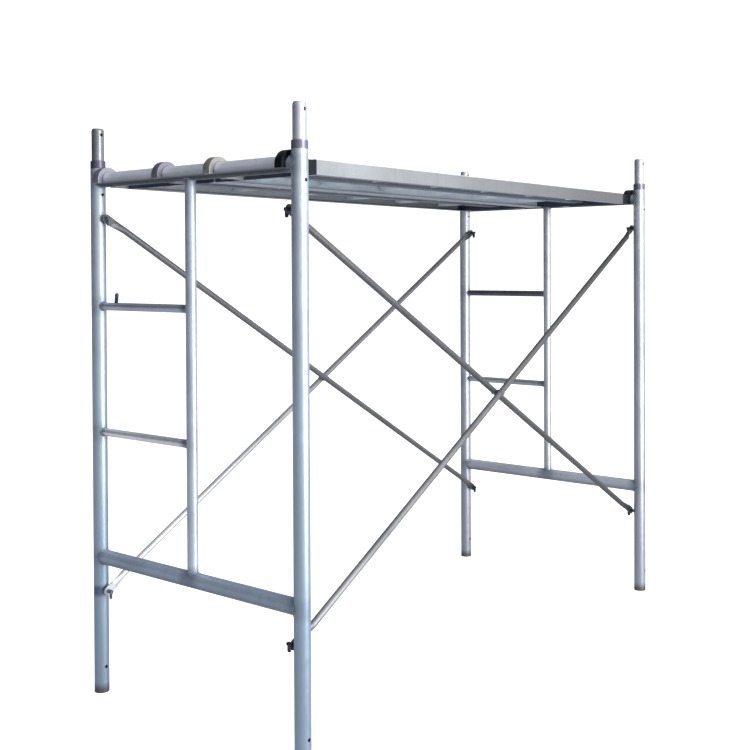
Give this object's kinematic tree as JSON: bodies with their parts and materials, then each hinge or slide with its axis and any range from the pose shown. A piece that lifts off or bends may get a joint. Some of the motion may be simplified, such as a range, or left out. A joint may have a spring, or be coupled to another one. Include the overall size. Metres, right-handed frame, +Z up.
{
  "type": "frame scaffold section",
  "caption": "Scaffold bay of two ladder end frames with coupling pins, crossed braces on studs with drop locks, and a hooked plank deck.",
  "frame": {"origin": "on the ground, in the middle of the four legs", "axes": "+X along the bay from the left frame to the right frame, +Y across the frame from the near legs to the far legs (the ladder half is at +Y), +Z up"},
  "size_m": [2.2194, 0.9482, 1.849],
  "materials": {
    "galvanised_tube": "satin",
    "brace_steel": "satin",
    "deck_steel": "satin",
    "hook_steel": "satin",
    "coupling_steel": "satin",
    "lock_steel": "satin"
  },
  "bodies": {
    "scaffold_frame": {"brace_pivot_washers": "brace_steel", "drop_lock_rivets": "lock_steel", "far_brace_pivot_rivet": "brace_steel", "far_falling_brace": "brace_steel", "far_rising_brace": "brace_steel", "left_bottom_ledger": "galvanised_tube", "left_far_brace_studs": "lock_steel", "left_far_leg": "galvanised_tube", "left_inner_post": "galvanised_tube", "left_lower_rung": "galvanised_tube", "left_near_brace_studs": "lock_steel", "left_near_leg": "galvanised_tube", "left_rung_peg": "lock_steel", "left_top_ledger": "galvanised_tube", "left_upper_rung": "galvanised_tube", "near_brace_pivot_rivet": "brace_steel", "near_falling_brace": "brace_steel", "near_rising_brace": "brace_steel", "right_bottom_ledger": "galvanised_tube", "right_far_brace_studs": "lock_steel", "right_far_leg": "galvanised_tube", "right_inner_post": "galvanised_tube", "right_lower_rung": "galvanised_tube", "right_near_brace_studs": "lock_steel", "right_near_leg": "galvanised_tube", "right_top_ledger": "galvanised_tube", "right_upper_rung": "galvanised_tube"},
    "left_near_coupling_pin": {"left_near_coupling_pin": "coupling_steel"},
    "left_far_coupling_pin": {"left_far_coupling_pin": "coupling_steel"},
    "right_near_coupling_pin": {"right_near_coupling_pin": "coupling_steel"},
    "right_far_coupling_pin": {"right_far_coupling_pin": "coupling_steel"},
    "left_near_lower_drop_lock": {"left_near_lower_drop_lock": "lock_steel"},
    "left_near_upper_drop_lock": {"left_near_upper_drop_lock": "lock_steel"},
    "left_far_lower_drop_lock": {"left_far_lower_drop_lock": "lock_steel"},
    "left_far_upper_drop_lock": {"left_far_upper_drop_lock": "lock_steel"},
    "right_near_lower_drop_lock": {"right_near_lower_drop_lock": "lock_steel"},
    "right_near_upper_drop_lock": {"right_near_upper_drop_lock": "lock_steel"},
    "right_far_lower_drop_lock": {"right_far_lower_drop_lock": "lock_steel"},
    "right_far_upper_drop_lock": {"right_far_upper_drop_lock": "lock_steel"},
    "near_plank": {"near_plank_crossbars": "deck_steel", "near_plank_deck_sheet": "deck_steel", "near_plank_hooks": "hook_steel", "near_plank_inner_rail": "deck_steel", "near_plank_left_end_cap": "hook_steel", "near_plank_outer_rail": "deck_steel", "near_plank_rib": "deck_steel", "near_plank_right_end_cap": "hook_steel"},
    "far_plank": {"far_plank_crossbars": "deck_steel", "far_plank_deck_sheet": "deck_steel", "far_plank_hooks": "hook_steel", "far_plank_inner_rail": "deck_steel", "far_plank_left_end_cap": "hook_steel", "far_plank_outer_rail": "deck_steel", "far_plank_rib": "deck_steel", "far_plank_right_end_cap": "hook_steel"}
  },
  "joints": [
    {"name": "left_near_pin_lift", "type": "slide", "parent": "scaffold_frame", "child": "left_near_coupling_pin", "axis": [0, 0, 1], "range_m": [0, 0.12]},
    {"name": "left_far_pin_lift", "type": "slide", "parent": "scaffold_frame", "child": "left_far_coupling_pin", "axis": [0, 0, 1], "range_m": [0, 0.12]},
    {"name": "right_near_pin_lift", "type": "slide", "parent": "scaffold_frame", "child": "right_near_coupling_pin", "axis": [0, 0, 1], "range_m": [0, 0.12]},
    {"name": "right_far_pin_lift", "type": "slide", "parent": "scaffold_frame", "child": "right_far_coupling_pin", "axis": [0, 0, 1], "range_m": [0, 0.12]},
    {"name": "left_near_lower_lock_flip", "type": "hinge", "parent": "scaffold_frame", "child": "left_near_lower_drop_lock", "pos_m": [-1.067, -0.3995, 0.336], "axis": [1, 0, 0], "range_deg": [0, 90]},
    {"name": "left_near_upper_lock_flip", "type": "hinge", "parent": "scaffold_frame", "child": "left_near_upper_drop_lock", "pos_m": [-1.067, -0.3995, 1.555], "axis": [1, 0, 0], "range_deg": [0, 90]},
    {"name": "left_far_lower_lock_flip", "type": "hinge", "parent": "scaffold_frame", "child": "left_far_lower_drop_lock", "pos_m": [-1.067, 0.3995, 0.336], "axis": [-1, 0, 0], "range_deg": [0, 90]},
    {"name": "left_far_upper_lock_flip", "type": "hinge", "parent": "scaffold_frame", "child": "left_far_upper_drop_lock", "pos_m": [-1.067, 0.3995, 1.555], "axis": [-1, 0, 0], "range_deg": [0, 90]},
    {"name": "right_near_lower_lock_flip", "type": "hinge", "parent": "scaffold_frame", "child": "right_near_lower_drop_lock", "pos_m": [1.067, -0.3995, 0.336], "axis": [1, 0, 0], "range_deg": [0, 90]},
    {"name": "right_near_upper_lock_flip", "type": "hinge", "parent": "scaffold_frame", "child": "right_near_upper_drop_lock", "pos_m": [1.067, -0.3995, 1.555], "axis": [1, 0, 0], "range_deg": [0, 90]},
    {"name": "right_far_lower_lock_flip", "type": "hinge", "parent": "scaffold_frame", "child": "right_far_lower_drop_lock", "pos_m": [1.067, 0.3995, 0.336], "axis": [-1, 0, 0], "range_deg": [0, 90]},
    {"name": "right_far_upper_lock_flip", "type": "hinge", "parent": "scaffold_frame", "child": "right_far_upper_drop_lock", "pos_m": [1.067, 0.3995, 1.555], "axis": [-1, 0, 0], "range_deg": [0, 90]},
    {"name": "near_plank_lift", "type": "slide", "parent": "scaffold_frame", "child": "near_plank", "axis": [0, 0, 1], "range_m": [0, 0.08]},
    {"name": "far_plank_lift", "type": "slide", "parent": "scaffold_frame", "child": "far_plank", "axis": [0, 0, 1], "range_m": [0, 0.08]}
  ]
}
